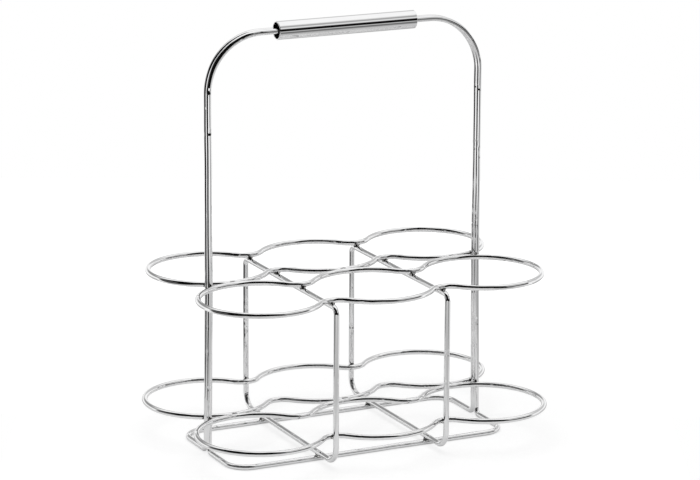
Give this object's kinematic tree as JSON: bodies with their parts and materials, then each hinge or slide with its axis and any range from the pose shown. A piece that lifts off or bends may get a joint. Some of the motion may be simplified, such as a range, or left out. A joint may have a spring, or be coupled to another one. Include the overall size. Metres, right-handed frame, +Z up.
{
  "type": "bottle caddy",
  "caption": "Chrome wire bottle caddy: wavy ring rows on two levels, cross frames, a wire base and a tall arched handle with a tube grip that turns.",
  "frame": {"origin": "the middle of the footprint, on the surface that it stands on", "axes": "+X along the rows and the grip, +Y across the rows towards the back one, +Z up"},
  "size_m": [0.3014, 0.2112, 0.345],
  "materials": {
    "wire": "bright chrome plating on drawn steel wire",
    "grip": "bright chrome plating on thin steel tube",
    "weld": "small resistance welds under the plating, darker at the joints",
    "bush": "moulded, matt"
  },
  "bodies": {
    "caddy": {"lower_front_ring_row": "wire", "lower_back_ring_row": "wire", "upper_front_ring_row": "wire", "upper_back_ring_row": "wire", "left_cross_frame": "wire", "right_cross_frame": "wire", "front_handle_wire": "wire", "back_handle_wire": "wire", "left_grip_bush": "bush", "right_grip_bush": "bush", "row_welds": "weld", "cross_frame_welds": "weld", "upright_welds": "weld", "base_welds": "weld", "leg_welds": "weld"},
    "grip": {"grip_tube": "grip"}
  },
  "joints": [
    {"name": "grip_spin", "type": "hinge", "parent": "caddy", "child": "grip", "pos_m": [0, 0, 0.3375], "axis": [1, 0, 0], "continuous": true}
  ]
}
